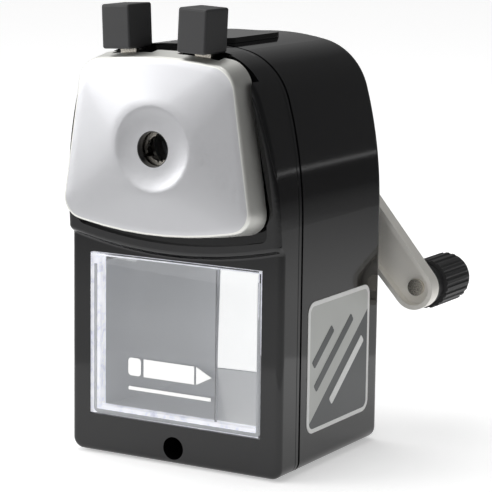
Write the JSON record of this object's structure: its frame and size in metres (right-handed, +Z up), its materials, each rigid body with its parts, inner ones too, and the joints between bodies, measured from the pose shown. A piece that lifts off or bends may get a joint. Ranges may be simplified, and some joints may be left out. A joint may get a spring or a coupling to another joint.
{
  "type": "pencil sharpener",
  "caption": "Hand-cranked desk pencil sharpener with a helical cutter, a pull-out spring chuck, two squeeze levers and a clear shavings drawer.",
  "frame": {"origin": "middle of the rubber pad's underside, half-way along the casing's depth", "axes": "+X to the user's right, -Y out of the front, where the pencil goes in, +Z up"},
  "size_m": [0.0745, 0.0951, 0.1171],
  "materials": {
    "gloss_black": "gloss",
    "black_matte": "matte",
    "satin_silver": "satin",
    "nickel": "polished",
    "steel": "ground",
    "zinc": "cast",
    "bronze": "sintered",
    "clear": "clear",
    "pale_grey": "matte",
    "white_print": "matte",
    "label": "satin",
    "rubber": "matte"
  },
  "bodies": {
    "casing": {"front_frame": "gloss_black", "body_cover": "gloss_black", "rear_frame": "gloss_black", "base_plate": "black_matte", "rubber_pad": "rubber", "base_screws": "steel", "drawer_liner": "pale_grey", "side_label": "label", "top_badge": "gloss_black", "chassis": "zinc", "rod_bushes": "bronze", "rear_bearing": "bronze", "rear_screws": "nickel", "front_screws": "nickel", "ring_gear": "zinc", "return_springs": "steel"},
    "drawer": {"drawer_tray": "clear", "drawer_mark": "white_print"},
    "crank": {"main_shaft": "steel", "cutter_carrier": "zinc", "cutter_axle": "steel", "crank_arm": "nickel", "crank_collar": "black_matte", "hub_nut": "nickel", "knob_rivet": "nickel"},
    "cutter": {"helical_cutter": "steel", "cutter_pinion": "steel"},
    "knob": {"crank_knob": "black_matte"},
    "chuck": {"face_plate": "satin_silver", "pencil_bush": "black_matte", "chuck_housing": "nickel", "guide_rods": "nickel", "rod_clips": "steel", "lever_spring": "steel"},
    "lever_right": {"lever_right": "nickel", "lever_cap_right": "black_matte"},
    "lever_left": {"lever_left": "nickel", "lever_cap_left": "black_matte"},
    "cam": {"cam_ring": "nickel"},
    "jaw_a": {"jaw_a": "nickel"},
    "jaw_b": {"jaw_b": "nickel"},
    "jaw_c": {"jaw_c": "nickel"}
  },
  "joints": [
    {"name": "drawer_slide", "type": "slide", "parent": "casing", "child": "drawer", "axis": [0, -1, 0], "range_m": [0, 0.038]},
    {"name": "crank_turn", "type": "hinge", "parent": "casing", "child": "crank", "pos_m": [0, 0.0267, 0.0822], "axis": [0, 1, 0], "continuous": true},
    {"name": "cutter_spin", "type": "hinge", "parent": "crank", "child": "cutter", "pos_m": [0, -0.0192, 0.0927], "axis": [0, 0.988, -0.1544], "continuous": true},
    {"name": "knob_spin", "type": "hinge", "parent": "crank", "child": "knob", "pos_m": [0.03697, 0.0379, 0.04027], "axis": [0, 1, 0], "continuous": true},
    {"name": "chuck_pull", "type": "slide", "parent": "casing", "child": "chuck", "axis": [0, -1, 0], "range_m": [0, 0.026], "stiffness_N_per_m": 80, "springref_m": -0.02, "deforming": ["return_springs"]},
    {"name": "lever_right_squeeze", "type": "hinge", "parent": "chuck", "child": "lever_right", "pos_m": [0.0104, -0.0304, 0.0958], "axis": [0, -1, 0], "range_deg": [0, 12], "stiffness_Nm_per_rad": 0.15, "springref_deg": -11.46, "deforming": ["lever_spring"]},
    {"name": "lever_left_squeeze", "type": "hinge", "parent": "chuck", "child": "lever_left", "pos_m": [-0.0104, -0.0304, 0.0958], "axis": [0, -1, 0], "range_deg": [-12, 0]},
    {"name": "cam_turn", "type": "hinge", "parent": "chuck", "child": "cam", "pos_m": [0, -0.0318, 0.0822], "axis": [0, -1, 0], "range_deg": [-3, 0]},
    {"name": "jaw_a_swing", "type": "hinge", "parent": "chuck", "child": "jaw_a", "pos_m": [0, -0.033, 0.09], "axis": [0, -1, 0], "range_deg": [-11, 0]},
    {"name": "jaw_b_swing", "type": "hinge", "parent": "chuck", "child": "jaw_b", "pos_m": [-0.00675, -0.033, 0.0783], "axis": [0, -1, 0], "range_deg": [-11, 0]},
    {"name": "jaw_c_swing", "type": "hinge", "parent": "chuck", "child": "jaw_c", "pos_m": [0.00675, -0.033, 0.0783], "axis": [0, -1, 0], "range_deg": [-11, 0]}
  ],
  "couplings": [
    {"joint": "cutter_spin", "follows": "crank_turn", "ratio": -3.1},
    {"joint": "lever_left_squeeze", "follows": "lever_right_squeeze", "ratio": -1},
    {"joint": "cam_turn", "follows": "lever_right_squeeze", "ratio": -0.25},
    {"joint": "jaw_a_swing", "follows": "lever_right_squeeze", "ratio": -0.91667},
    {"joint": "jaw_b_swing", "follows": "lever_right_squeeze", "ratio": -0.91667},
    {"joint": "jaw_c_swing", "follows": "lever_right_squeeze", "ratio": -0.91667}
  ]
}
